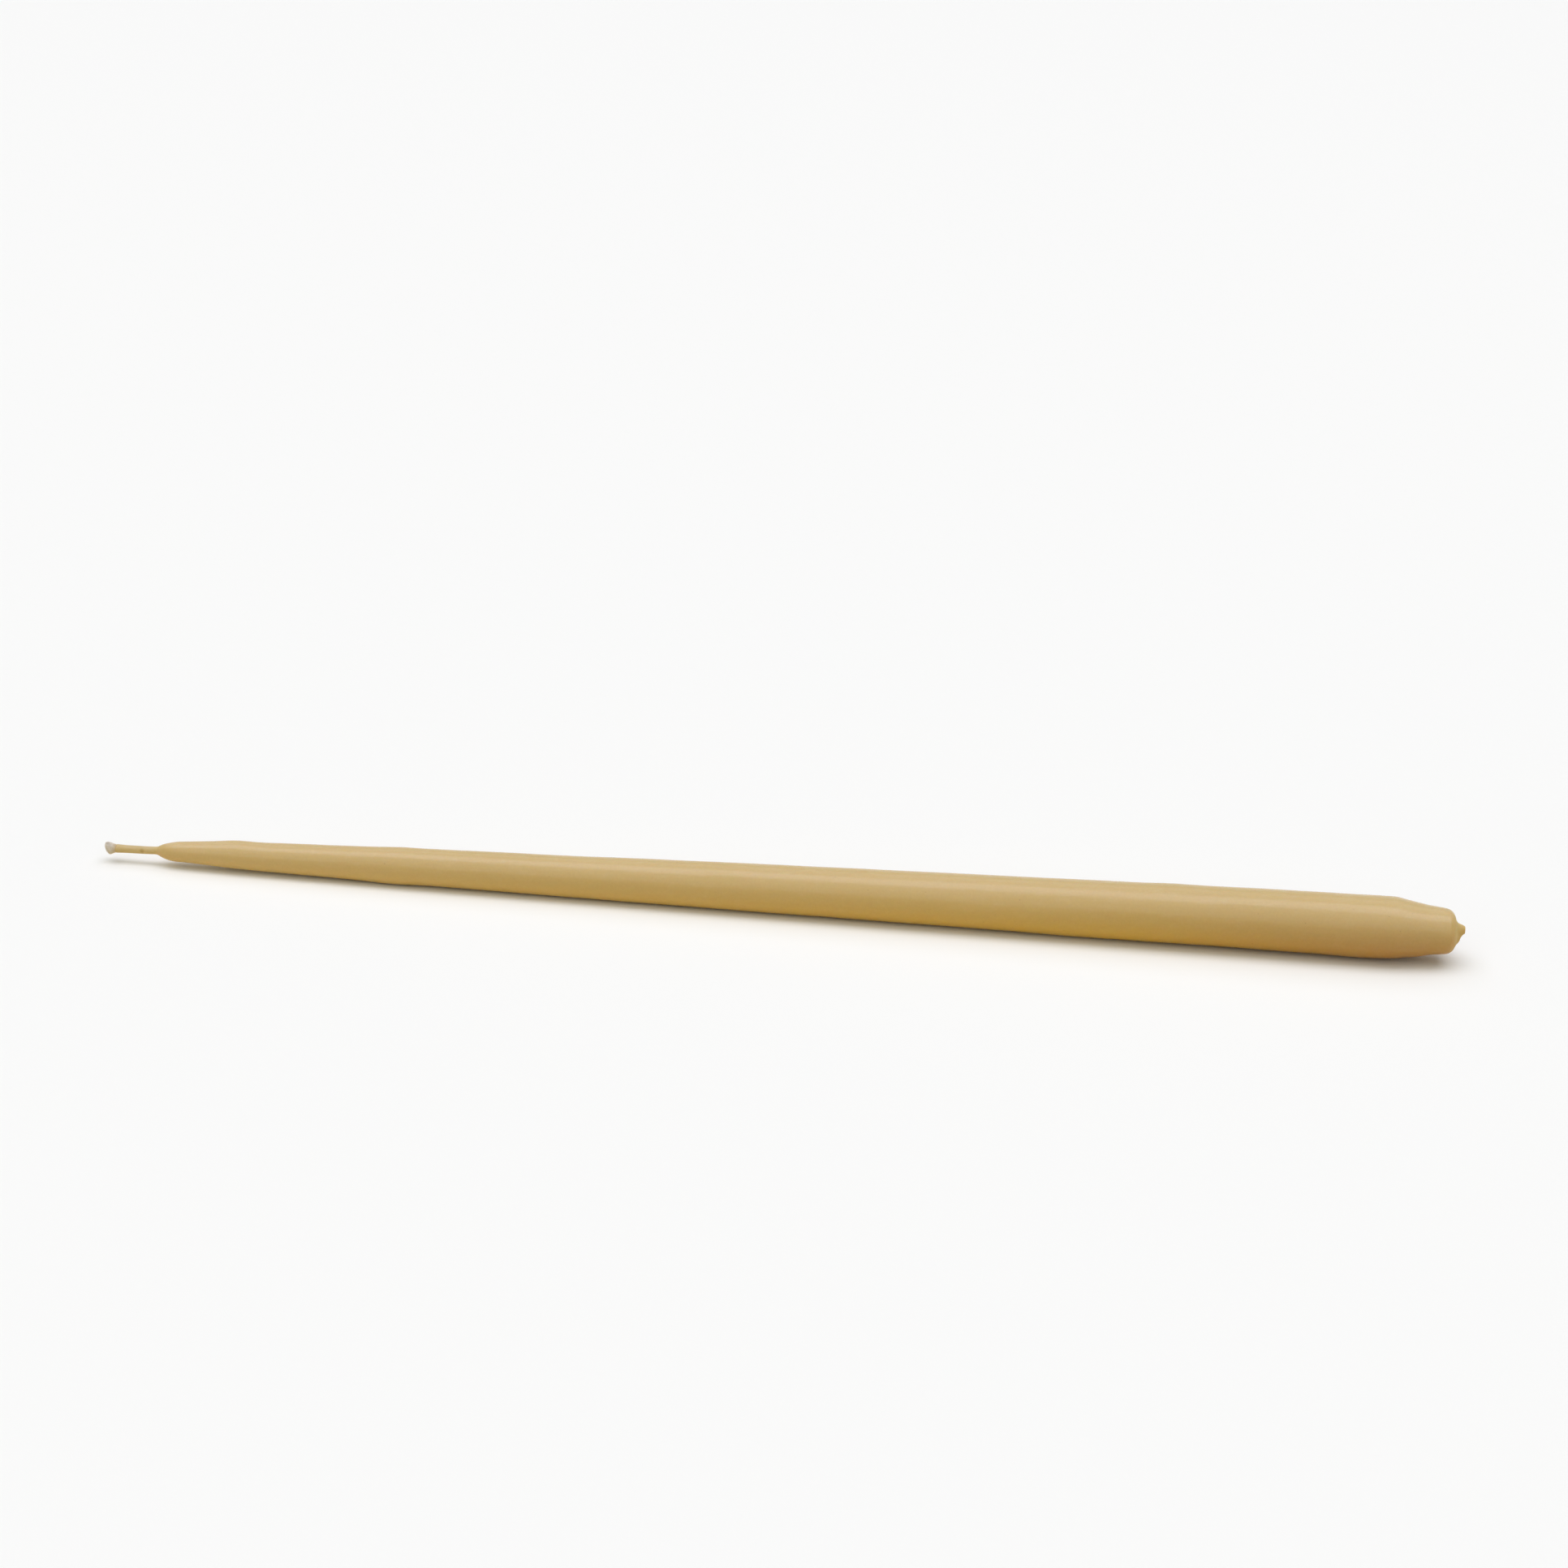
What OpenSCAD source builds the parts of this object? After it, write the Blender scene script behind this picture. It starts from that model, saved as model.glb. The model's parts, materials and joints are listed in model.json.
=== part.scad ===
// Hand-dipped taper candle, lying along X with its foot at +X and its wick at -X.
// The origin is on the candle's axis, at the lower edge of the land that a holder grips.

/* [Taper] */
// Length of the wax, from where the wick leaves the shoulder to the rim of the foot
wax_len = 457; // [200:1:600]
// Diameter where the shoulder ends and the taper starts
shoulder_d = 7; // [5:0.1:12]
// Length of the shoulder
shoulder_len = 6; // [3:0.5:15]
// How full the shoulder is: 1 is a straight cone, a smaller number is rounder
shoulder_power = 0.55; // [0.4:0.01:1]
// How full the taper is: 1 is a straight cone, a smaller number is rounder
taper_power = 0.58; // [0.4:0.01:1]

/* [Land] */
// Diameter of the round land that a holder grips
land_d = 21.4; // [19:0.1:26]
// Length of the land
land_len = 22; // [12:1:40]

/* [Foot] */
// Length of the cone that centres the foot in a holder
cone_len = 10.7; // [6:0.1:20]
// Diameter at the small end of the cone
heel_d = 16.8; // [15:0.1:18.5]
// Length of the heel, from the cone to the rim
heel_len = 8.9; // [5:0.1:15]
// Diameter at the end of the heel, before the rim is rounded
rim_d = 15.4; // [13:0.1:16.5]
// Radius of the rounded rim
rim_r = 3; // [0.5:0.1:4]
// How far the end face swells out between the rim and the nub
swell = 0.8; // [0:0.1:2]

/* [Nub] */
// Diameter of the nub where it grows out of the end face
nub_root_d = 5.4; // [4:0.1:6.5]
// Length of the nub
nub_len = 2.4; // [1:0.1:5]
// Thickness of wax left round the wick on the nub's cut face
nub_wall = 0.3; // [0.2:0.05:0.8]

/* [Wick] */
// Diameter of the braided cotton cord
wick_d = 2; // [1.2:0.1:2.6]
// Radial gap between the cord and its channel in the wax
wick_gap = 0.01; // [0.01:0.01:0.05]
// Thickness of the wax coat on the exposed cord
coat_wall = 0.42; // [0.2:0.01:0.8]
// Length of exposed cord that carries the coat
coat_len = 15.8; // [5:0.1:30]

/* [Tuft] */
// Length of the bare tuft beyond the coat
tuft_len = 4.4; // [3.5:0.1:8]
// Distance from the axis to the middle of an outer strand's end
splay = 1.75; // [1.2:0.05:2.5]
// Number of strands round the outside of the braid
strands = 8; // [6:2:10]
// Diameter of a strand inside the braid
strand_d = 0.8; // [0.5:0.05:0.9]
// Diameter of a strand where its fibres have spread
strand_tip_d = 1.15; // [0.8:0.05:1.3]
// How much shorter the outer strands are than the middle one
cut_dome = 1.5; // [0:0.1:2]
// Slant of the scissor cut, with the longest strands at the top
cut_angle = 16; // [0:1:20]

/* [Hidden] */

wax_color = [0.76, 0.66, 0.43];
cotton_color = [0.78, 0.76, 0.70];

// Stations along the axis, from the wick's end to the foot's
rim_x = cone_len + heel_len;
root_x = rim_x - wax_len;
coat_x = root_x - coat_len;
taper_x = root_x + shoulder_len;
land_x = -land_len;
nub_root_x = rim_x + swell;
nub_end_x = nub_root_x + nub_len;

coat_d = wick_d + 2 * coat_wall;
nub_end_d = wick_d + 2 * nub_wall;
channel_d = wick_d + 2 * wick_gap;

// Steps along each curve of the outline, and facets round the axis
shoulder_steps = 12;
taper_steps = 40;
rim_steps = 8;
round_fn = 96;

// Steps along a strand, sides round it, and how far it is buried in the cord
strand_steps = 4;
strand_sides = 8;
strand_root = 0.6;
// How sharply a strand bends outwards
strand_bend = 1.6;
// How far the rounded end of a strand goes on past its last full ring, and how wide it ends
tip_len = 0.3;
tip_share = 0.6;

// Points of a curve that swells from the first radius and station to the second. The first
// is left out, and they lie closest together near it, where the curve bends most.
function swelling(r1, x1, r2, x2, power, steps) = [
    for (i = [1 : steps])
        let (t = pow(i / steps, 2))
        [r1 + (r2 - r1) * pow(t, power), x1 + (x2 - x1) * t]
];

// Points of the quarter circle that rounds the rim
function rim_round() = [
    for (i = [0 : rim_steps])
        let (turn = 90 * i / rim_steps)
        [rim_d / 2 - rim_r + rim_r * cos(turn), rim_x - rim_r + rim_r * sin(turn)]
];

// Half of the wax's lengthwise section: radius first, then station along the axis
function wax_outline() = concat(
    [[0, coat_x], [coat_d / 2, coat_x], [coat_d / 2, root_x]],
    swelling(coat_d / 2, root_x, shoulder_d / 2, taper_x, shoulder_power, shoulder_steps),
    swelling(shoulder_d / 2, taper_x, land_d / 2, land_x, taper_power, taper_steps),
    [[land_d / 2, 0], [heel_d / 2, cone_len]],
    rim_round(),
    [[nub_root_d / 2, nub_root_x], [nub_end_d / 2, nub_end_x], [0, nub_end_x]]
);

// Lays something that was made along +Z along +X
module along_x() {
    rotate([0, 90, 0])
        children();
}

// The wick's channel, which runs out of both ends of the wax
module channel() {
    over = 1;
    translate([0, 0, coat_x - over])
        cylinder(d = channel_d, h = nub_end_x - coat_x + 2 * over, $fn = round_fn);
}

module wax_body() {
    color(wax_color)
        along_x()
            difference() {
                rotate_extrude($fn = round_fn)
                    polygon(wax_outline());
                channel();
            }
}

// Middle of a strand at the share s of its way. It rises along Z and bends out along X.
function strand_middle(s, start_r, reach, len) = [start_r + reach * pow(s, strand_bend), 0, len * s];

// How far a strand leans out there, in degrees
function strand_lean(s, reach, len) = atan2(reach * strand_bend * pow(s, strand_bend - 1), len);

// A ring round a strand, square to its way
function ring(middle, lean, r) = [
    for (j = [0 : strand_sides - 1])
        let (a = 360 * j / strand_sides)
        middle + r * [cos(a) * cos(lean), sin(a), -cos(a) * sin(lean)]
];

// A strand that stands at start_r from the axis at the mouth of the coat and ends at end_r from it
module strand(start_r, end_r, len) {
    reach = end_r - start_r;
    buried = ring([start_r, 0, -strand_root], 0, strand_d / 2);
    free = [
        for (k = [0 : strand_steps])
            let (
                s = k / strand_steps,
                r = (strand_d + (strand_tip_d - strand_d) * s) / 2
            )
            each ring(strand_middle(s, start_r, reach, len), strand_lean(s, reach, len), r)
    ];
    end_lean = strand_lean(1, reach, len);
    tip = ring(
        strand_middle(1, start_r, reach, len) + tip_len * [sin(end_lean), 0, cos(end_lean)],
        end_lean,
        strand_tip_d / 2 * tip_share
    );
    rings = strand_steps + 3;
    sides = [
        for (k = [0 : rings - 2], j = [0 : strand_sides - 1])
            let (
                here = k * strand_sides,
                next = here + strand_sides,
                j2 = (j + 1) % strand_sides
            )
            each [[here + j, next + j, next + j2], [here + j, next + j2, here + j2]]
    ];
    bottom = [for (j = [0 : strand_sides - 1]) j];
    top = [for (j = [strand_sides - 1 : -1 : 0]) (rings - 1) * strand_sides + j];
    polyhedron(points = concat(buried, free, tip), faces = concat([bottom], sides, [top]));
}

// A circle of strands, each cut to the slanted dome of the tuft's end
module strand_circle(count, start_r, end_r) {
    for (i = [0 : count - 1]) {
        turn = 360 * i / count;
        dome = cut_dome * pow(end_r / splay, 2);
        slant = tan(cut_angle) * end_r * cos(turn);
        rotate([0, 0, turn])
            strand(start_r, end_r, tuft_len - tip_len - dome + slant);
    }
}

// The frayed end: a middle strand, half as many round it as outside, and the outer ones
module tuft() {
    braid_r = (wick_d - strand_d) / 2;
    strand_circle(1, 0, 0);
    strand_circle(strands / 2, braid_r / 2, splay / 2);
    strand_circle(strands, braid_r, splay);
}

module wick() {
    color(cotton_color) {
        along_x()
            translate([0, 0, coat_x])
                cylinder(d = wick_d, h = nub_end_x - coat_x, $fn = round_fn);
        translate([coat_x, 0, 0])
            rotate([0, -90, 0])
                tuft();
    }
}

wax_body();
wick();
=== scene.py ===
import json
import math
import random

import bpy
import numpy as np
from mathutils import Matrix, Vector, noise


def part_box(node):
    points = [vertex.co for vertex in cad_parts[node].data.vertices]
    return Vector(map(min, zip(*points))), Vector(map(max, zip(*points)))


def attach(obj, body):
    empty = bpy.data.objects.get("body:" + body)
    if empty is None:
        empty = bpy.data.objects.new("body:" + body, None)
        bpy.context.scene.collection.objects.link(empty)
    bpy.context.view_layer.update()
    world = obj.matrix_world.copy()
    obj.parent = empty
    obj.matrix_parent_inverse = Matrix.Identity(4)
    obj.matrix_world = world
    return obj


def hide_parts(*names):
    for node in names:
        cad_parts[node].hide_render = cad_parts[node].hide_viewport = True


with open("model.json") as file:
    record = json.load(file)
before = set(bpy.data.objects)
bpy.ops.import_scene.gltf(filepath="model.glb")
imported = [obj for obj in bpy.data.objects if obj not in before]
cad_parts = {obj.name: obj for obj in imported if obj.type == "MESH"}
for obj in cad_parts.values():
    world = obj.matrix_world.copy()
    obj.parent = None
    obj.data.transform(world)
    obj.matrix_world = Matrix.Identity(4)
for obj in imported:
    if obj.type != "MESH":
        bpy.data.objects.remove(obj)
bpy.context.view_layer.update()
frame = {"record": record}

# The candle lies along X, with its foot at +X. Lengths here are in millimetres, and every mesh is
# scaled to metres as it is made.
MM = 0.001
holder_end = frame["record"]["mounts"][0]
wax_low, wax_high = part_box("wax_body")
wick_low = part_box("wick")[0]

# The wax. Its ends and its land come from the frame. Its other sizes are the part's, within 0.05.
LAND_R = holder_end["dims"]["r_mm"]
LAND_LEN = holder_end["dims"]["length_mm"]
COAT_X = wax_low.x / MM
NUB_END_X = wax_high.x / MM
TUFT_X = wick_low.x / MM
COAT_LEN = 15.8
ROOT_X = COAT_X + COAT_LEN
SHOULDER_LEN = 6.0
SHOULDER_R = 3.5
SHOULDER_POWER = 0.55
TAPER_POWER = 0.58
CONE_LEN = 10.7
HEEL_R = 8.4
RIM_X = 19.6
RIM_R = 7.7
RIM_ROUND = 3.0
SWELL = 0.8
NUB_ROOT_R = 2.75
NUB_END_R = 1.25
WICK_R = 1.0
CHANNEL_R = 1.01
COAT_R = 1.42
# How much wider the coat is at its mouth, and over what length it widens
MOUTH_FLARE = 0.16
MOUTH_FLARE_LEN = 3.5

# The photograph's view of it: angles in degrees, the focal length and the width in the
# photograph's pixels, and the other lengths in millimetres
VIEW_AZIMUTH = 7.97
VIEW_ELEVATION = 24.0
VIEW_DISTANCE = 900.0
VIEW_FOCAL_PX = 3173.0
PHOTO_WIDTH_PX = 1932
SENSOR_WIDTH = 36.0
AIM_X = -208.9
AIM_RIGHT = -0.73
AIM_UP = 36.88

azimuth = math.radians(VIEW_AZIMUTH)
elevation = math.radians(VIEW_ELEVATION)
view_back = Vector((
    math.sin(azimuth) * math.cos(elevation),
    -math.cos(azimuth) * math.cos(elevation),
    math.sin(elevation),
))
view_right = Vector((math.cos(azimuth), math.sin(azimuth), 0.0))
view_up = view_back.cross(view_right)


def mix(a, b, share):
    return a + (b - a) * share


def smooth_step(low, high, value):
    t = np.clip((value - low) / (high - low), 0.0, 1.0)
    return t * t * (3.0 - 2.0 * t)


def mesh_object(name, points, faces, materials, face_slots=None):
    """A smooth-shaded mesh object from points in millimetres."""
    mesh = bpy.data.meshes.new(name)
    mesh.from_pydata([tuple(p) for p in np.asarray(points) * MM], [], faces)
    for material in materials:
        mesh.materials.append(material)
    if face_slots is not None:
        mesh.polygons.foreach_set("material_index", face_slots)
    mesh.polygons.foreach_set("use_smooth", [True] * len(mesh.polygons))
    mesh.update()
    piece = bpy.data.objects.new(name, mesh)
    bpy.context.scene.collection.objects.link(piece)
    return piece


# Node materials

# The share of a speck's and of a spot's radius within which it is at its full strength
SPECK_CORE = 0.2
SPOT_CORE = 0.3
# How fast the choice of cells that hold a speck goes from yes to no
SPECK_CHOICE = 0.01


class Nodes:
    """A short way to build a material's node tree."""

    def __init__(self, name):
        self.material = bpy.data.materials.new(name)
        self.material.use_nodes = True
        self.tree = self.material.node_tree
        self.shader = self.tree.nodes["Principled BSDF"]
        self.output = self.tree.nodes["Material Output"]

    def add(self, kind, **settings):
        node = self.tree.nodes.new(kind)
        for key, value in settings.items():
            if hasattr(node, key):
                setattr(node, key, value)
            else:
                node.inputs[key.replace("_", " ")].default_value = value
        return node

    def link(self, source, target):
        self.tree.links.new(source, target)

    def place(self):
        return self.add("ShaderNodeTexCoord").outputs["Object"]

    def noise(self, scale, detail=3.0, roughness=0.5, stretch=(1, 1, 1)):
        """Noise in object space; the scale is in features for each millimetre."""
        mapping = self.add("ShaderNodeMapping")
        mapping.inputs["Scale"].default_value = [scale * s / MM for s in stretch]
        self.link(self.place(), mapping.inputs["Vector"])
        texture = self.add("ShaderNodeTexNoise", Scale=1.0, Detail=detail, Roughness=roughness)
        self.link(mapping.outputs["Vector"], texture.inputs["Vector"])
        return texture.outputs["Fac"]

    def ramp(self, source, stops):
        """A colour ramp from (place, colour) stops."""
        node = self.add("ShaderNodeValToRGB")
        elements = node.color_ramp.elements
        while len(elements) < len(stops):
            elements.new(0.5)
        for element, (place, color) in zip(elements, stops):
            element.position = place
            element.color = (*color, 1.0)
        self.link(source, node.inputs["Fac"])
        return node.outputs["Color"]

    def range(self, source, low, high, to_low=0.0, to_high=1.0):
        node = self.add("ShaderNodeMapRange")
        for socket, value in zip(("From Min", "From Max", "To Min", "To Max"),
                                 (low, high, to_low, to_high)):
            node.inputs[socket].default_value = value
        self.link(source, node.inputs["Value"])
        return node.outputs["Result"]

    def along_x(self, start, end):
        """0 up to one station along the candle, rising to 1 at the other."""
        split = self.add("ShaderNodeSeparateXYZ")
        self.link(self.place(), split.inputs["Vector"])
        return self.range(split.outputs["X"], start * MM, end * MM)

    def mix(self, share, first, second):
        """Mixes a socket and a plain number by a share."""
        node = self.add("ShaderNodeMix", data_type="FLOAT")
        self.link(share, node.inputs[0])
        self.link(first, node.inputs[2])
        node.inputs[3].default_value = second
        return node.outputs[0]

    def blend(self, share, first, second):
        """Mixes two colours by a share; each is a colour or a socket."""
        node = self.add("ShaderNodeMix", data_type="RGBA")
        for socket, value in ((node.inputs[6], first), (node.inputs[7], second)):
            if isinstance(value, tuple):
                socket.default_value = (*value, 1.0)
            else:
                self.link(value, socket)
        self.link(share, node.inputs[0])
        return node.outputs[2]

    def specks(self, spacing, size, share):
        """1 inside scattered round specks, 0 elsewhere; a share of the cells holds a speck."""
        mapping = self.add("ShaderNodeMapping")
        mapping.inputs["Scale"].default_value = [1.0 / (spacing * MM)] * 3
        self.link(self.place(), mapping.inputs["Vector"])
        cells = self.add("ShaderNodeTexVoronoi", Scale=1.0)
        self.link(mapping.outputs["Vector"], cells.inputs["Vector"])
        radius = size / spacing
        inside = self.range(cells.outputs["Distance"], radius, radius * SPECK_CORE)
        split = self.add("ShaderNodeSeparateColor")
        self.link(cells.outputs["Color"], split.inputs["Color"])
        chosen = self.range(split.outputs["Red"], share + SPECK_CHOICE, share)
        both = self.add("ShaderNodeMath", operation="MULTIPLY")
        self.link(inside, both.inputs[0])
        self.link(chosen, both.inputs[1])
        return both.outputs["Value"]

    def spot(self, middle, radius):
        """1 at a place, fading to 0 at that radius from it."""
        apart = self.add("ShaderNodeVectorMath", operation="DISTANCE")
        self.link(self.place(), apart.inputs[0])
        apart.inputs[1].default_value = middle * MM
        return self.range(apart.outputs["Value"], radius * MM, radius * SPOT_CORE * MM)

    def bump(self, height, depth, below=None):
        """A bump of that depth in millimetres, on top of another."""
        node = self.add("ShaderNodeBump", Strength=1.0, Distance=depth * MM)
        self.link(height, node.inputs["Height"])
        if below is not None:
            self.link(below, node.inputs["Normal"])
        return node.outputs["Normal"]

    def subsurface(self, weight, radius, scale):
        """Light that goes in and comes out again; the scale is in millimetres."""
        self.shader.inputs["Subsurface Weight"].default_value = weight
        self.shader.inputs["Subsurface Radius"].default_value = radius
        self.shader.inputs["Subsurface Scale"].default_value = scale * MM


# The wax's clouds, from darker to paler honey
HONEY = [(0.35, (0.562, 0.411, 0.145)), (0.65, (0.574, 0.421, 0.155))]
# What lies on it: its colour and how much of it shows, and between which values of its noise
BLOOM_COLOR = (0.655, 0.52, 0.31)
BLOOM_SHARE = 0.2
BLOOM_FROM = (0.5, 0.8)
DUST_COLOR = (0.30, 0.19, 0.07)
DUST_SHARE = 0.55
GRAIN_COLOR = (0.38, 0.26, 0.09)
GRAIN_SHARE = 0.12
GRAIN_FROM = (0.35, 0.65)
# Dust specks and pinholes: how far apart, how large, and the share of the places that hold one
DUST_SPECKS = (4.0, 0.3, 0.3)
PINHOLES = (4.0, 0.25, 0.25)
# How rough the side is, from its clearest to its haziest place, and how rough the end face is
HAZE_FROM = (0.35, 0.75)
SIDE_ROUGHNESS = (0.21, 0.26)
END_ROUGHNESS = 0.65
END_FADE = 2.0
# How deep the slow ripple, the lines along the candle, the grain and the pinholes are
RIPPLE_DEPTH = 0.06
DRAWN_DEPTH = 0.05
GRAIN_DEPTH = 0.006
PINHOLE_DEPTH = 0.03
WAX_IOR = 1.5


def wax_material():
    """Pale honey wax: satin and cloudy, with a faint bloom, dust specks and pinholes."""
    n = Nodes("honey_wax")
    cloud = n.noise(scale=0.035, detail=4.0, stretch=(0.5, 1, 1))
    tone = n.ramp(cloud, HONEY)
    bloom = n.noise(scale=0.45, detail=5.0, roughness=0.65, stretch=(0.6, 1, 1))
    hazy = n.blend(n.range(bloom, *BLOOM_FROM, 0.0, BLOOM_SHARE), tone, BLOOM_COLOR)
    dusty = n.blend(n.range(n.specks(*DUST_SPECKS), 0.0, 1.0, 0.0, DUST_SHARE), hazy, DUST_COLOR)
    grain = n.noise(scale=1.2, detail=4.0, roughness=0.6)
    grained = n.blend(n.range(grain, *GRAIN_FROM, 0.0, GRAIN_SHARE), dusty, GRAIN_COLOR)
    n.link(grained, n.shader.inputs["Base Color"])
    satin = n.range(bloom, *HAZE_FROM, *SIDE_ROUGHNESS)
    near_end = n.along_x(RIM_X - END_FADE, RIM_X)
    n.link(n.mix(near_end, satin, END_ROUGHNESS), n.shader.inputs["Roughness"])
    ripple = n.bump(n.noise(scale=0.12, detail=2.0), RIPPLE_DEPTH)
    drawn = n.bump(n.noise(scale=0.3, detail=3.0, stretch=(0.06, 1, 1)), DRAWN_DEPTH, below=ripple)
    fine = n.bump(grain, GRAIN_DEPTH, below=drawn)
    holes = n.range(n.specks(*PINHOLES), 0.0, 1.0, 1.0, 0.0)
    n.link(n.bump(holes, PINHOLE_DEPTH, below=fine), n.shader.inputs["Normal"])
    n.subsurface(weight=0.7, radius=(1.0, 0.6, 0.3), scale=1.5)
    n.shader.inputs["IOR"].default_value = WAX_IOR
    return n.material


# The coat's streaks, from darker to paler, and its colour where it meets the shoulder
STREAKS = [(0.3, (0.49, 0.37, 0.145)), (0.7, (0.585, 0.445, 0.205))]
ROOT_COLOR = (0.556, 0.408, 0.145)
ROOT_FADE = 2.5
# A brown spot on the coat: its colour and how much of it shows, its radius, its station, and its
# angle round the axis, from +Y towards +Z
SPOT_COLOR = (0.35, 0.23, 0.06)
SPOT_SHARE = 0.6
SPOT_R = 1.1
SPOT_X = ROOT_X - 5.8
SPOT_ANGLE = math.radians(176.0)
# How rough the coat is, from the darker streaks to the paler ones, and how deep its bumps are
GLOSS_FROM = (0.3, 0.7)
COAT_ROUGHNESS = (0.36, 0.48)
COAT_BUMP_DEPTH = 0.12
COAT_IOR = 1.45


def coat_material():
    """The thin wax coat over the cord: greener and duller, because the cotton shows through."""
    n = Nodes("thin_wax")
    streak = n.noise(scale=0.7, detail=4.0, roughness=0.6, stretch=(0.3, 1, 1))
    tone = n.ramp(streak, STREAKS)
    near_root = n.blend(n.along_x(ROOT_X - ROOT_FADE, ROOT_X), tone, ROOT_COLOR)
    middle = Vector((SPOT_X, COAT_R * math.cos(SPOT_ANGLE), COAT_R * math.sin(SPOT_ANGLE)))
    brown = n.range(n.spot(middle, SPOT_R), 0.0, 1.0, 0.0, SPOT_SHARE)
    n.link(n.blend(brown, near_root, SPOT_COLOR), n.shader.inputs["Base Color"])
    n.link(n.range(streak, *GLOSS_FROM, *COAT_ROUGHNESS), n.shader.inputs["Roughness"])
    bumps = n.noise(scale=0.8, stretch=(0.4, 1, 1))
    n.link(n.bump(bumps, COAT_BUMP_DEPTH), n.shader.inputs["Normal"])
    n.subsurface(weight=0.3, radius=(1.0, 0.6, 0.25), scale=0.5)
    n.shader.inputs["IOR"].default_value = COAT_IOR
    return n.material


# The cotton's flecks, from darker to paler, and its colour where wax has soaked into it
FLECKS = [(0.3, (0.785, 0.71, 0.58)), (0.7, (0.868, 0.81, 0.685))]
WAXY_COLOR = (0.74, 0.60, 0.38)
WAXY_LEN = 1.4
COTTON_BUMP_DEPTH = 0.02
COTTON_ROUGHNESS = 0.85
COTTON_SHEEN = 0.2


def cotton_material():
    """Bare cotton, grey-white, that turns waxy yellow where it leaves the coat."""
    n = Nodes("bare_cotton")
    out_of_wax = n.along_x(COAT_X, COAT_X - WAXY_LEN)
    bare = n.ramp(n.noise(scale=2.5, detail=2.0), FLECKS)
    n.link(n.blend(out_of_wax, WAXY_COLOR, bare), n.shader.inputs["Base Color"])
    n.link(n.bump(n.noise(scale=8.0), COTTON_BUMP_DEPTH), n.shader.inputs["Normal"])
    n.shader.inputs["Roughness"].default_value = COTTON_ROUGHNESS
    n.shader.inputs["Sheen Weight"].default_value = COTTON_SHEEN
    n.subsurface(weight=0.3, radius=(1.0, 0.9, 0.8), scale=0.05)
    return n.material


# The wax

# The outline's step, and the points along each of its curves
OUTLINE_STEP = 0.05
SWELL_POINTS = 200
RIM_POINTS = 20
# Points of the outline that are closer together than this are one
SAME_POINT = 1e-9
# How widely corners are rounded along the side and at the outline's two ends, and how far along
# the outline from an end the one turns into the other
SOFT_CORNER = 0.8
CRISP_CORNER = 0.12
SOFT_FROM = (1.0, 2.6)
# How many times that width to each side takes part in rounding a corner
ROUND_REACH = 3
# Points round the axis
AROUND = 156
# How far apart the rings of the wax stand, by the station where each spacing starts
RING_SPACING = [
    (COAT_X, 0.35), (ROOT_X - 1.0, 0.22), (ROOT_X + 9.0, 1.2), (-LAND_LEN - 4.0, 0.55),
    (RIM_X - RIM_ROUND, 0.2), (RIM_X + SWELL, 0.12),
]


def swelling(x1, r1, x2, r2, power):
    """Points of a curve that swells from the first station and radius to the second."""
    share = np.linspace(0.0, 1.0, SWELL_POINTS) ** 2
    return [(mix(x1, x2, t), mix(r1, r2, t ** power)) for t in share]


def corner_outline():
    """The wax's outline in the frame, from the coat's mouth to the nub's cut face."""
    turn = np.linspace(0.0, math.pi / 2, RIM_POINTS)
    rim = [(RIM_X - RIM_ROUND + RIM_ROUND * math.sin(a), RIM_R - RIM_ROUND + RIM_ROUND * math.cos(a))
           for a in turn]
    return (
        [(COAT_X, CHANNEL_R), (COAT_X, COAT_R + MOUTH_FLARE), (COAT_X + MOUTH_FLARE_LEN, COAT_R),
         (ROOT_X, COAT_R)]
        + swelling(ROOT_X, COAT_R, ROOT_X + SHOULDER_LEN, SHOULDER_R, SHOULDER_POWER)
        + swelling(ROOT_X + SHOULDER_LEN, SHOULDER_R, -LAND_LEN, LAND_R, TAPER_POWER)
        + [(0.0, LAND_R), (CONE_LEN, HEEL_R)]
        + rim
        + [(RIM_X + SWELL, NUB_ROOT_R), (NUB_END_X, NUB_END_R), (NUB_END_X, CHANNEL_R)]
    )


def even_steps(points, step):
    """The same line as points an even step apart."""
    points = np.array(points, float)
    run = np.concatenate(([0.0], np.cumsum(np.hypot(*np.diff(points, axis=0).T))))
    keep = np.concatenate(([True], np.diff(run) > SAME_POINT))
    run, points = run[keep], points[keep]
    places = np.linspace(0.0, run[-1], int(run[-1] / step) + 1)
    return np.stack([np.interp(places, run, points[:, k]) for k in (0, 1)], axis=1)


def rounded(line, radius):
    """The line with its corners rounded over about that radius; its ends stay."""
    reach = int(ROUND_REACH * radius / OUTLINE_STEP)
    weights = np.exp(-0.5 * (np.arange(-reach, reach + 1) * OUTLINE_STEP / radius) ** 2)
    weights /= weights.sum()
    before = 2 * line[0] - line[reach:0:-1]
    after = 2 * line[-1] - line[-2:-reach - 2:-1]
    padded = np.concatenate((before, line, after))
    return np.stack([np.convolve(padded[:, k], weights, "valid") for k in (0, 1)], axis=1)


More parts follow.
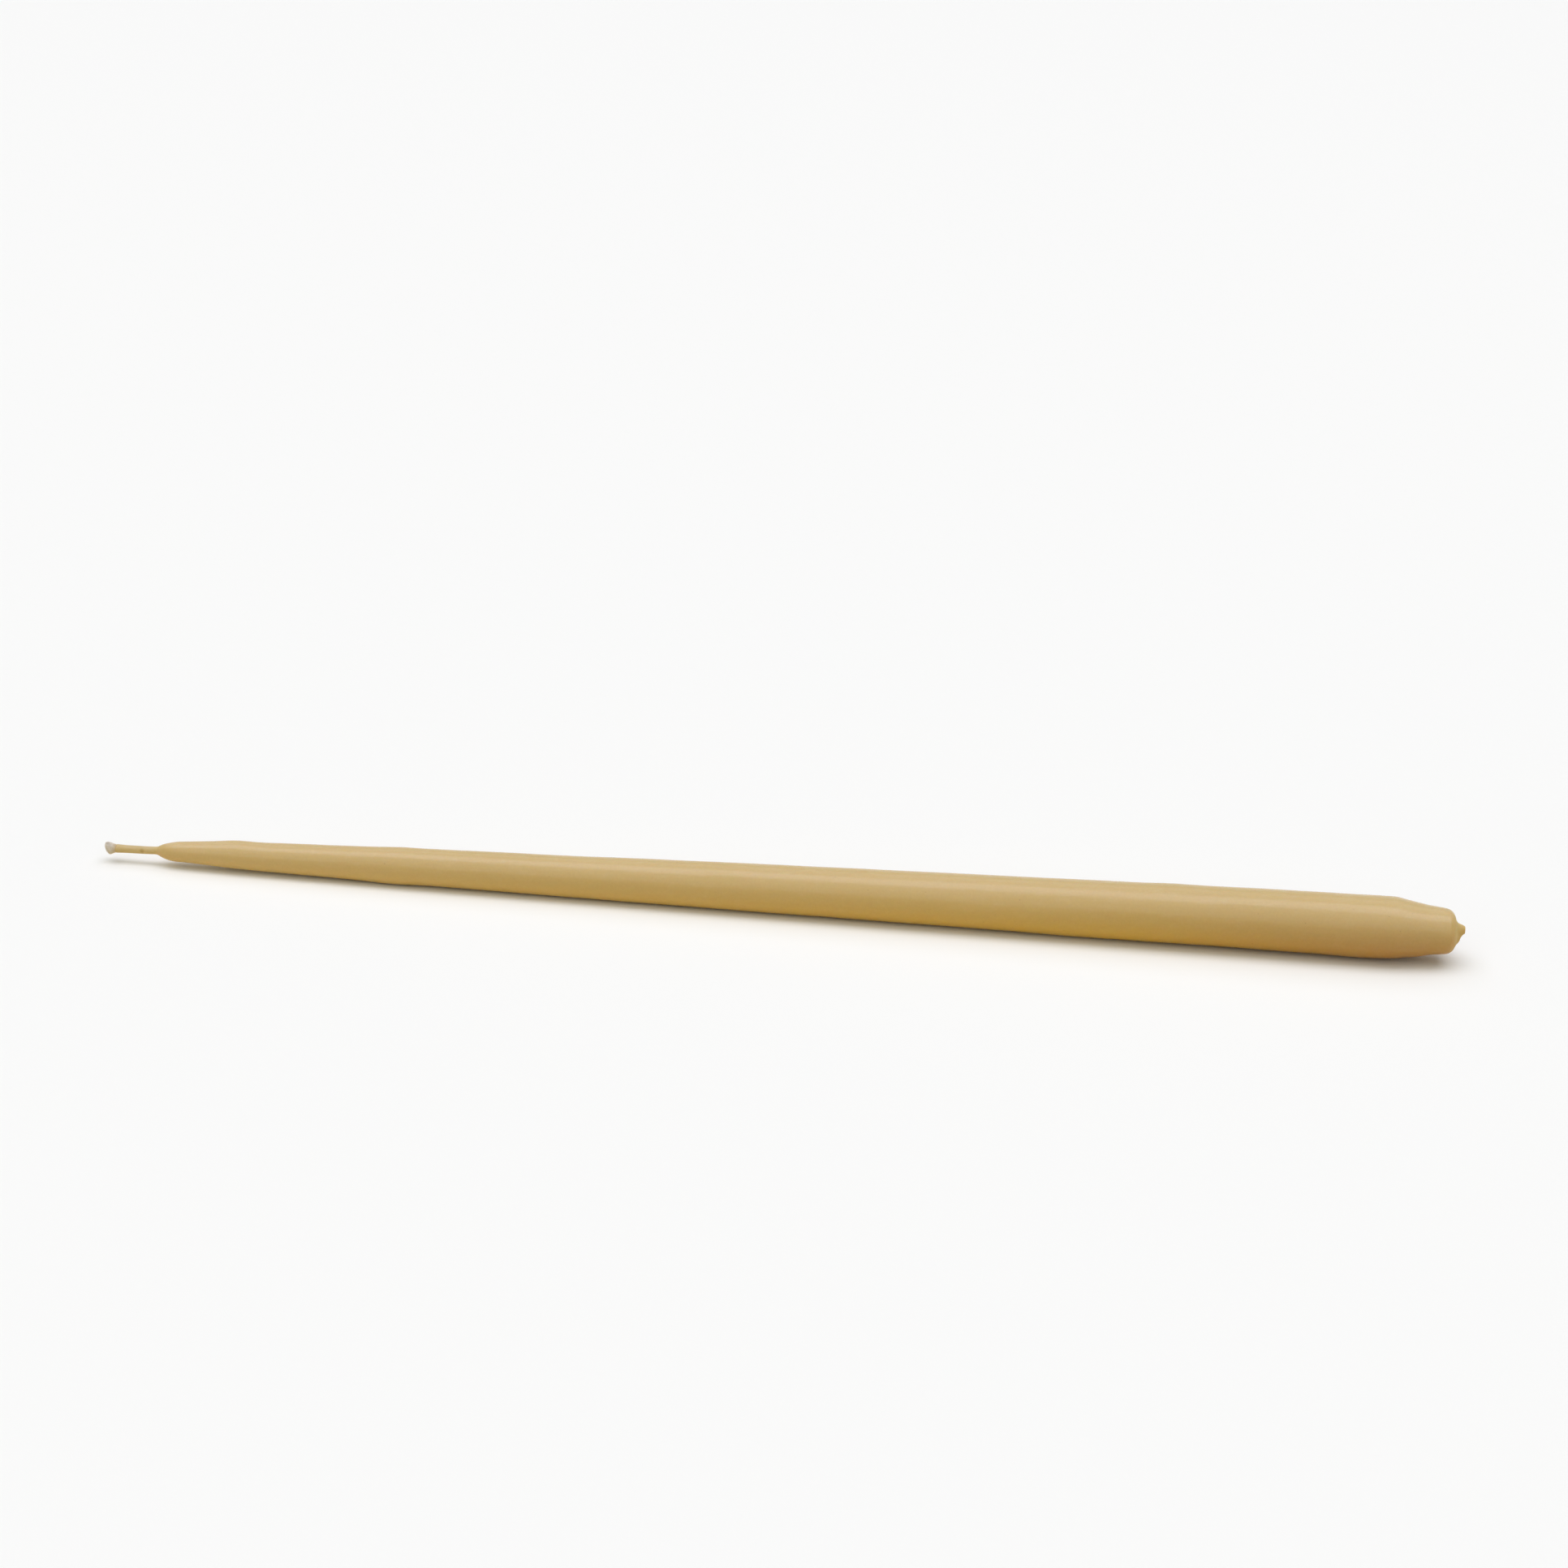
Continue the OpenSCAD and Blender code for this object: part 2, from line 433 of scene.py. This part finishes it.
def ring_outline():
    """Station and radius of each ring of the wax, closer together where the outline bends."""
    line = even_steps(corner_outline(), OUTLINE_STEP)
    from_end = np.minimum(np.arange(len(line)), np.arange(len(line))[::-1]) * OUTLINE_STEP
    soft = smooth_step(*SOFT_FROM, from_end)[:, None]
    line = mix(rounded(line, CRISP_CORNER), rounded(line, SOFT_CORNER), soft)
    starts = [start for start, spacing in RING_SPACING]
    spacings = [spacing for start, spacing in RING_SPACING]
    spacing = np.interp(line[:, 0], starts, spacings)
    for k, start in enumerate(starts):
        spacing = np.where(line[:, 0] >= start, spacings[k], spacing)
    count = np.concatenate(([0.0], np.cumsum(OUTLINE_STEP / spacing[1:])))
    rings = np.linspace(0.0, count[-1], int(count[-1]) + 1)
    return np.stack([np.interp(rings, count, line[:, k]) for k in (0, 1)], axis=1)


# Uneven places that dipping by hand left in the wax. Each is a station, which side it is on, in
# degrees from the side that the camera sees at the top edge (180 is the bottom edge), its height,
# its half length and its half width. The last seven are small marks along the side.
UNEVEN = [
    (-433.0, 180, 0.32, 3.5, 3.0),
    (-427.0, 0, -0.12, 4.0, 4.0),
    (-408.7, 0, 0.50, 7.0, 5.0),
    (-424.0, 180, -0.28, 12.0, 5.0),
    (-350.0, 180, 0.42, 10.0, 6.0),
    (-348.0, 0, 0.20, 7.0, 5.0),
    (-285.0, 0, -0.24, 22.0, 7.0),
    (-104.0, 180, 0.20, 20.0, 9.0),
    (-76.0, 0, 0.22, 7.0, 9.0),
    (-48.0, 180, -0.12, 20.0, 9.0),
    (-12.0, 180, 0.32, 8.0, 9.0),
    (-14.0, 0, -0.20, 22.0, 9.0),
    (0.0, 180, -0.20, 4.0, 9.0),
    (8.0, 180, 0.30, 4.0, 7.0),
    (3.0, 0, -0.15, 6.0, 7.0),
    (16.0, 180, 0.28, 4.0, 7.0),
    (19.0, 0, -0.30, 2.6, 4.5),
    (-346.3, 62, 0.10, 2.2, 1.3),
    (-301.9, 60, 0.08, 4.0, 1.3),
    (-241.6, 66, 0.12, 6.0, 1.3),
    (-188.4, 60, 0.13, 5.0, 1.3),
    (-117.1, 65, -0.12, 2.5, 1.4),
    (-103.1, 62, 0.12, 2.5, 1.4),
    (-37.3, 66, 0.10, 5.0, 1.5),
]
# A drip that set on the end face, just under the nub: its station, how far it is from the axis, its
# side, its height and its radius
DRIP_AT = (RIM_X + 0.9, 3.3, 188)
DRIP_HEIGHT = 0.85
DRIP_R = 1.5
# The nub leans towards the top edge, and is straight again over its last stretch
NUB_LEAN = 0.55
NUB_STRAIGHT = 0.5
# The exposed wick bends down a little, from one station to the other
WICK_BEND = 0.16
BEND_START = ROOT_X + 2.0
BEND_END = ROOT_X - 6.0
# Hand-dipped waviness all over: each layer's height, and how long and how wide its waves are
WAVES = [(0.10, 26.0, 9.0), (0.035, 9.0, 5.0), (0.012, 3.0, 2.5)]
# Where the layers are read from the noise: a step for each millimetre of height, and the rest
WAVE_SEED_STEP = 1000.0
WAVE_SEED = (3.7, 9.1)
# The waves are lower where the wax is thinner than this radius, down to the least share
WAVE_FULL_R = 6.0
WAVE_LEAST = 0.25
# All unevenness fades out over this length at both ends
EVEN_END = 1.0
# The coat's mouth is ragged: how much, over what length, how often round it, and a place in the noise
MOUTH_RAGGED = 0.3
RAGGED_LEN = 1.5
RAGGED_OFTEN = 1.3
RAGGED_SEED = 5.0
# Stations between the two ends where the channel and the cord follow the middle line
CHANNEL_STATIONS = [RIM_X + SWELL, RIM_X, 0.0, BEND_START, ROOT_X, ROOT_X - 2.0, ROOT_X - 4.0, BEND_END]

top_side = math.atan2(view_up.z, view_up.y)


def side_angle(degrees):
    """The angle round the axis, from +Y towards +Z, of a side named as UNEVEN does."""
    return top_side - math.radians(degrees)


def axis_shift(x):
    """How far the candle's middle line leaves the axis, towards the top edge."""
    wick = -WICK_BEND * smooth_step(BEND_START, BEND_END, x)
    nub = NUB_LEAN * smooth_step(RIM_X, NUB_END_X - NUB_STRAIGHT, x)
    return wick + nub


def axis_place(x):
    """Where the candle's middle line runs there, as Y and Z."""
    shift = float(axis_shift(np.array(x)))
    return shift * math.cos(top_side), shift * math.sin(top_side)


def waviness(point):
    """How far the waves lift the wax at a point."""
    total = 0.0
    for height, length, width in WAVES:
        place = Vector((point[0] / length, point[1] / width, point[2] / width))
        total += height * noise.noise(place + Vector((height * WAVE_SEED_STEP, *WAVE_SEED)))
    return total


def wax_points():
    """Points of the wax, ring by ring, with its unevenness."""
    rings = ring_outline()
    slope = np.gradient(rings, axis=0)
    length = np.hypot(slope[:, 0], slope[:, 1])
    normal_x, normal_r = -slope[:, 1] / length, slope[:, 0] / length
    angles = np.arange(AROUND) * 2 * math.pi / AROUND
    x = np.repeat(rings[:, :1], AROUND, axis=1)
    r = np.repeat(rings[:, 1:], AROUND, axis=1)
    y = r * np.cos(angles)
    z = r * np.sin(angles)
    lift = np.zeros_like(x)
    for station, side, height, half_length, half_width in UNEVEN:
        a = side_angle(side)
        here = np.interp(station, rings[:, 0], rings[:, 1])
        near = ((x - station) / half_length) ** 2
        near += ((y - here * math.cos(a)) ** 2 + (z - here * math.sin(a)) ** 2) / half_width ** 2
        lift += height * np.exp(-near)
    drip_x, drip_r, drip_side = DRIP_AT
    a = side_angle(drip_side)
    near = (x - drip_x) ** 2 + (y - drip_r * math.cos(a)) ** 2 + (z - drip_r * math.sin(a)) ** 2
    lift += DRIP_HEIGHT * np.exp(-near / DRIP_R ** 2)
    wave = np.array([waviness(p) for p in zip(x.ravel(), y.ravel(), z.ravel())]).reshape(x.shape)
    lift += wave * np.clip(r / WAVE_FULL_R, WAVE_LEAST, 1.0)
    lift *= smooth_step(0.0, EVEN_END, np.minimum(x - COAT_X, NUB_END_X - x))
    round_mouth = [Vector((math.cos(a) * RAGGED_OFTEN, math.sin(a) * RAGGED_OFTEN, RAGGED_SEED))
                   for a in angles]
    ragged = np.array([noise.noise(place) for place in round_mouth])
    x = x + lift * normal_x[:, None]
    x = x + MOUTH_RAGGED * ragged * smooth_step(COAT_X + RAGGED_LEN, COAT_X, x)
    r = r + lift * normal_r[:, None]
    shift = axis_shift(x)
    y = r * np.cos(angles) + shift * math.cos(top_side)
    z = r * np.sin(angles) + shift * math.sin(top_side)
    return np.stack((x, y, z), axis=2)


def channel_points():
    """Points of the wick's channel, from the nub back to the coat."""
    angles = np.arange(AROUND) * 2 * math.pi / AROUND
    rings = []
    for x in CHANNEL_STATIONS:
        y, z = axis_place(x)
        rings.append(np.stack((np.full(AROUND, x), y + CHANNEL_R * np.cos(angles),
                               z + CHANNEL_R * np.sin(angles)), axis=1))
    return np.array(rings)


def ring_faces(count, around):
    """Quads between rings, and from the last ring back to the first through the channel."""
    faces = []
    for i in range(count):
        here, after = i * around, (i + 1) % count * around
        for j in range(around):
            k = (j + 1) % around
            faces.append((here + j, here + k, after + k, after + j))
    return faces


def make_wax():
    """The dipped wax as one closed skin, with the channel inside; gives back its outer points."""
    skin = wax_points()
    points = np.concatenate((skin, channel_points()))
    faces = ring_faces(len(points), AROUND)
    station = points[:, 0, 0]
    slots = np.repeat((station < ROOT_X).astype(int), AROUND)
    piece = mesh_object("dipped_wax", points.reshape(-1, 3), faces,
                        [wax_material(), coat_material()], slots)
    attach(piece, "root")
    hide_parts("wax_body")
    return skin


# The wick

# The cord: points round it, and the last stretch of its cut end, where it narrows to this share
CORD_AROUND = 32
CORD_END_LEN = 0.3
CORD_END_SHARE = 0.8
TUFT_LEN = COAT_X - TUFT_X
# How wide the tuft spreads: where it leaves the coat, over the coat's lip, and where it is cut
TUFT_MOUTH_R = 0.98
TUFT_LIP = (-0.1, 0.4, 0.62)
TUFT_FLARE = (0.4, 2.8, 0.77)
# How far the tuft's end hangs down, and how far out of the mouth that sets in and is reached
TUFT_SAG = 0.11
SAG_FROM = (0.4, 2.0)
# The scissors' cut: how much shorter the outer fibres are, how square the dome is, its slant, and
# how far the middle fibres are from the farthest tip
CUT_DOME = 0.95
CUT_POWER = 4.0
CUT_ANGLE = 20.0
CUT_BACK = 0.55
# The middle of the tuft: its share of the width, how much it narrows towards the coat's lip
# and where, how far its side runs, and how deep its end lies under the cut
CORE_SHARE = 0.94
CORE_WAIST = 0.35
CORE_WAIST_FROM = (1.3, 0.4)
CORE_SIDE_LEN = 1.9
CORE_DEPTH = 0.1
CORE_AROUND = 48
CORE_SIDE_RINGS = 16
CORE_END_RINGS = 12
CORE_LAST_SHARE = 0.04
# The single fibres. A small crowding crowds them towards the outside.
FIBRES = 2400
FIBRE_SEED = 7
FIBRE_R = 0.032
FIBRE_TIP_SHARE = 0.6
FIBRE_SIDES = 4
FIBRE_STEPS = 6
FIBRE_BURIED = 0.6
FIBRE_CROWDING = 0.4
# How much a fibre turns on its way, how unevenly it is cut, how far it sways, and in how short waves
FIBRE_TWIST = 0.25
FIBRE_UNEVEN = (-0.12, 0.04)
FIBRE_SWAY = 0.04
FIBRE_WAVES = (3.0, 7.0)
# Some fibres stray: their share of all, and how far they stick out
STRAY_SHARE = 0.05
STRAY_REACH = (0.05, 0.16)
# The braid's strands still show as lobes round the tuft, fully so from this far out of the mouth
LOBES = 8
LOBE_DEPTH = 0.07
LOBE_LEN = 2.0


def tuft_spread(along):
    """How far the outermost fibres are from the axis, that far out of the coat's mouth."""
    spread = TUFT_MOUTH_R
    for start, end, rise in (TUFT_LIP, TUFT_FLARE):
        spread += rise * float(smooth_step(start, end, along))
    return spread


def tuft_point(share, turn, along):
    """A point of the tuft: its share of the spread, its angle round the axis, and its distance out."""
    lobe = LOBE_DEPTH * 0.5 * (1.0 - math.cos(LOBES * turn)) * float(smooth_step(0.0, LOBE_LEN, along))
    r = share * (1.0 - lobe) * tuft_spread(along)
    shift = float(axis_shift(COAT_X)) - TUFT_SAG * float(smooth_step(*SAG_FROM, along))
    return Vector((
        COAT_X - along,
        r * math.cos(turn) + shift * math.cos(top_side),
        r * math.sin(turn) + shift * math.sin(top_side),
    ))


def tuft_reach(share, turn):
    """How far out of the mouth the scissors cut the fibres there."""
    slant = math.tan(math.radians(CUT_ANGLE)) * share * tuft_spread(TUFT_LEN) * math.cos(turn - top_side)
    return TUFT_LEN - CUT_BACK - CUT_DOME * share ** CUT_POWER + slant


class Tubes:
    """Collects closed tubes as one mesh."""

    def __init__(self):
        self.points = []
        self.faces = []

    def close(self, base, rings, sides):
        """Faces of a stack of rings, closed at both ends."""
        for i in range(rings - 1):
            here, after = base + i * sides, base + (i + 1) * sides
            for j in range(sides):
                k = (j + 1) % sides
                self.faces.append((here + j, here + k, after + k, after + j))
        last = base + (rings - 1) * sides
        self.faces.append(tuple(base + j for j in reversed(range(sides))))
        self.faces.append(tuple(last + j for j in range(sides)))

    def add(self, path, radii, sides):
        """A tube along a path of points."""
        base = len(self.points)
        path = [Vector(p) for p in path]
        side = Vector((0.0, 0.0, 1.0))
        for i, (point, radius) in enumerate(zip(path, radii)):
            ahead = path[min(i + 1, len(path) - 1)] - path[max(i - 1, 0)]
            ahead.normalize()
            side = (side - ahead * side.dot(ahead)).normalized()
            other = ahead.cross(side)
            for j in range(sides):
                a = 2 * math.pi * j / sides
                self.points.append(point + radius * (math.cos(a) * side + math.sin(a) * other))
        self.close(base, len(path), sides)

    def add_rings(self, rings):
        """A closed stack of rings, each a list of points."""
        base = len(self.points)
        for ring in rings:
            self.points.extend(ring)
        self.close(base, len(rings), len(rings[0]))


def tuft_core():
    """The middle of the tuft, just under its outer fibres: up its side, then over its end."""
    turns = [-2 * math.pi * j / CORE_AROUND for j in range(CORE_AROUND)]
    rings = []
    for along in np.linspace(-FIBRE_BURIED, CORE_SIDE_LEN, CORE_SIDE_RINGS):
        share = CORE_SHARE * (1.0 - CORE_WAIST * float(smooth_step(*CORE_WAIST_FROM, along)))
        rings.append([tuft_point(share, turn, along) for turn in turns])
    for share in np.linspace(1.0, CORE_LAST_SHARE, CORE_END_RINGS):
        rings.append([tuft_point(CORE_SHARE * share, turn, tuft_reach(share, turn) - CORE_DEPTH)
                      for turn in turns])
    return rings


def fibre(rng):
    """One cotton fibre, from inside the coat to the cut: the points of its path and its radii."""
    share = rng.random() ** FIBRE_CROWDING
    turn = rng.uniform(0.0, 2 * math.pi)
    twist = rng.uniform(-FIBRE_TWIST, FIBRE_TWIST)
    stray = rng.uniform(*STRAY_REACH) if rng.random() < STRAY_SHARE else 0.0
    reach = tuft_reach(share, turn) + rng.uniform(*FIBRE_UNEVEN) + stray
    sway = rng.uniform(0.0, FIBRE_SWAY)
    waves = rng.uniform(*FIBRE_WAVES)
    phase = rng.uniform(0.0, 2 * math.pi)
    points = []
    for k in range(FIBRE_STEPS):
        t = k / (FIBRE_STEPS - 1)
        along = mix(-FIBRE_BURIED, reach, t)
        point = tuft_point(share * (1.0 + stray * t ** 3), turn + twist * t, along)
        point.y += sway * math.sin(waves * along + phase)
        point.z += sway * math.cos(waves * along + phase)
        points.append(point)
    radii = [FIBRE_R] * (FIBRE_STEPS - 1) + [FIBRE_R * FIBRE_TIP_SHARE]
    return points, radii


def make_wick():
    """The cotton: the cord in its channel, and the frayed tuft at its bare end."""
    rng = random.Random(FIBRE_SEED)
    tubes = Tubes()
    cord_stations = [NUB_END_X, NUB_END_X - CORD_END_LEN] + CHANNEL_STATIONS + [COAT_X]
    path = [(x, *axis_place(x)) for x in cord_stations]
    radii = [WICK_R] * len(path)
    radii[0] *= CORD_END_SHARE
    tubes.add(path, radii, CORD_AROUND)
    tubes.add_rings(tuft_core())
    for _ in range(FIBRES):
        tubes.add(*fibre(rng), FIBRE_SIDES)
    piece = mesh_object("cotton_wick", np.array([tuple(p) for p in tubes.points]), tubes.faces,
                        [cotton_material()])
    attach(piece, "root")
    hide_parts("wick")


# Floor, light and camera

# Half the width of the floor
FLOOR_HALF = 6000.0
# A little warm, so that it renders as white under the cool panels
FLOOR_COLOR = (0.91, 0.93, 0.857)
# The light that the floor throws back, from under the wick to a little past the foot
FLOOR_BOUNCE = [
    (0.0, (1.0, 0.88, 0.55)), (0.73, (0.93, 0.70, 0.0)), (0.92, (0.60, 0.31, 0.0)),
    (1.0, (0.90, 0.75, 0.30)),
]
FLOOR_PAST_FOOT = 25.0

# Soft light panels, each as seen from the candle: the elevation where it starts in front, the one
# where it ends, over the top, its radiance and its colour. A white face that looks up renders as
# about 1.
COOL = (1.0, 0.97, 1.09)
WHITE = (1.0, 1.0, 1.0)
PANELS = {
    "behind": (106.0, 140.0, 0.85, COOL),
    "overhead": (74.0, 106.0, 2.5, COOL),
    "front": (50.0, 74.0, 0.95, WHITE),
    "low": (20.0, 50.0, 0.68, WHITE),
}
# In metres: how far off each panel stands, and how long it is along X
PANEL_DISTANCE = 40.0
PANEL_LENGTH = 70.0
# The world round it: how much light it gives, and how bright it shows
WORLD_LIGHT = 0.15
WORLD_SHOWN = 0.95

# The search for the resting line: how far a point may lie under it, and how many turns it may take
RESTING_GAP = 1e-6
RESTING_TURNS = 20


def resting_line(points):
    """Two points of the underside that a flat floor touches, one on each side of the balance."""
    station = points[:, :, 0].mean(axis=1)
    low = points[:, :, 2].min(axis=1)
    radius = np.abs(low)
    slices = np.abs(np.gradient(station)) * radius ** 2
    balance = (station * slices).sum() / slices.sum()
    wick_side = [i for i in range(len(station)) if station[i] < balance]
    foot_side = [i for i in range(len(station)) if station[i] >= balance]
    a, b = wick_side[-1], foot_side[0]
    for _ in range(RESTING_TURNS):
        slope = (low[b] - low[a]) / (station[b] - station[a])
        under = low - (low[a] + slope * (station - station[a]))
        worst = int(under.argmin())
        if under[worst] > -RESTING_GAP:
            break
        if station[worst] < balance:
            a = worst
        else:
            b = worst
    return (station[a], low[a]), (station[b], low[b])


def seen_rays(tree):
    """1 for rays that show a thing, straight or in a mirror or a glass, 0 for scattered light."""
    path = tree.nodes.new("ShaderNodeLightPath").outputs
    total = path["Is Camera Ray"]
    for name in ("Is Glossy Ray", "Is Transmission Ray"):
        either = tree.nodes.new("ShaderNodeMath")
        either.operation = "MAXIMUM"
        tree.links.new(total, either.inputs[0])
        tree.links.new(path[name], either.inputs[1])
        total = either.outputs["Value"]
    return total


def floor_material():
    """Pale floor. It shows as pale, and throws warm light back up, most of it near the wick."""
    n = Nodes("pale_floor")
    n.tree.nodes.remove(n.shader)
    seen = n.add("ShaderNodeBsdfDiffuse")
    seen.inputs["Color"].default_value = (*FLOOR_COLOR, 1.0)
    bounce = n.add("ShaderNodeBsdfDiffuse")
    n.link(n.ramp(n.along_x(ROOT_X, RIM_X + FLOOR_PAST_FOOT), FLOOR_BOUNCE), bounce.inputs["Color"])
    choose = n.add("ShaderNodeMixShader")
    n.link(seen_rays(n.tree), choose.inputs["Fac"])
    n.link(bounce.outputs["BSDF"], choose.inputs[1])
    n.link(seen.outputs["BSDF"], choose.inputs[2])
    n.link(choose.outputs["Shader"], n.output.inputs["Surface"])
    return n.material


def make_floor(points):
    """A flat floor that the candle rests on, tilted along X as the taper is."""
    (x1, z1), (x2, z2) = resting_line(points)
    slope = (z2 - z1) / (x2 - x1)
    corners = [(x, y, z1 + slope * (x - x1))
               for x, y in ((-FLOOR_HALF, -FLOOR_HALF), (FLOOR_HALF, -FLOOR_HALF),
                            (FLOOR_HALF, FLOOR_HALF), (-FLOOR_HALF, FLOOR_HALF))]
    floor = mesh_object("floor", corners, [(0, 1, 2, 3)], [floor_material()])


def make_panel(name, start, end, radiance, color):
    """A soft light panel that faces the middle of the candle."""
    middle = math.radians((start + end) / 2)
    lamp = bpy.data.lights.new(name, "AREA")
    lamp.shape = "RECTANGLE"
    lamp.size = PANEL_LENGTH
    lamp.size_y = 2 * PANEL_DISTANCE * math.tan(math.radians((end - start) / 2))
    lamp.energy = radiance * math.pi * lamp.size * lamp.size_y
    lamp.color = color
    panel = bpy.data.objects.new(name, lamp)
    outward = Vector((0.0, -math.cos(middle), math.sin(middle)))
    panel.location = Vector((AIM_X * MM, 0.0, 0.0)) + outward * PANEL_DISTANCE
    panel.rotation_euler = (math.pi / 2 - middle, 0.0, 0.0)
    panel.visible_camera = False
    bpy.context.scene.collection.objects.link(panel)


def make_light():
    """The pale world and the soft panels."""
    world = bpy.data.worlds.new("studio")
    world.use_nodes = True
    tree = world.node_tree
    background = tree.nodes["Background"]
    background.inputs["Color"].default_value = (1.0, 1.0, 1.0, 1.0)
    strength = tree.nodes.new("ShaderNodeMapRange")
    strength.inputs["To Min"].default_value = WORLD_LIGHT
    strength.inputs["To Max"].default_value = WORLD_SHOWN
    tree.links.new(seen_rays(tree), strength.inputs["Value"])
    tree.links.new(strength.outputs["Result"], background.inputs["Strength"])
    bpy.context.scene.world = world
    for name, panel in PANELS.items():
        make_panel(name, *panel)


def make_camera():
    """The photograph's camera."""
    data = bpy.data.cameras.new("camera")
    data.sensor_width = SENSOR_WIDTH
    data.lens = SENSOR_WIDTH * VIEW_FOCAL_PX / PHOTO_WIDTH_PX
    camera = bpy.data.objects.new("camera", data)
    aim = Vector((AIM_X, 0.0, 0.0)) + view_right * AIM_RIGHT + view_up * AIM_UP
    camera.location = (aim + view_back * VIEW_DISTANCE) * MM
    axes = Matrix((view_right, view_up, view_back)).transposed()
    camera.rotation_euler = axes.to_euler()
    bpy.context.scene.collection.objects.link(camera)
    bpy.context.scene.camera = camera


make_camera()
wax = make_wax()
make_wick()
make_floor(wax)
make_light()
bpy.context.scene.view_settings.view_transform = "Standard"
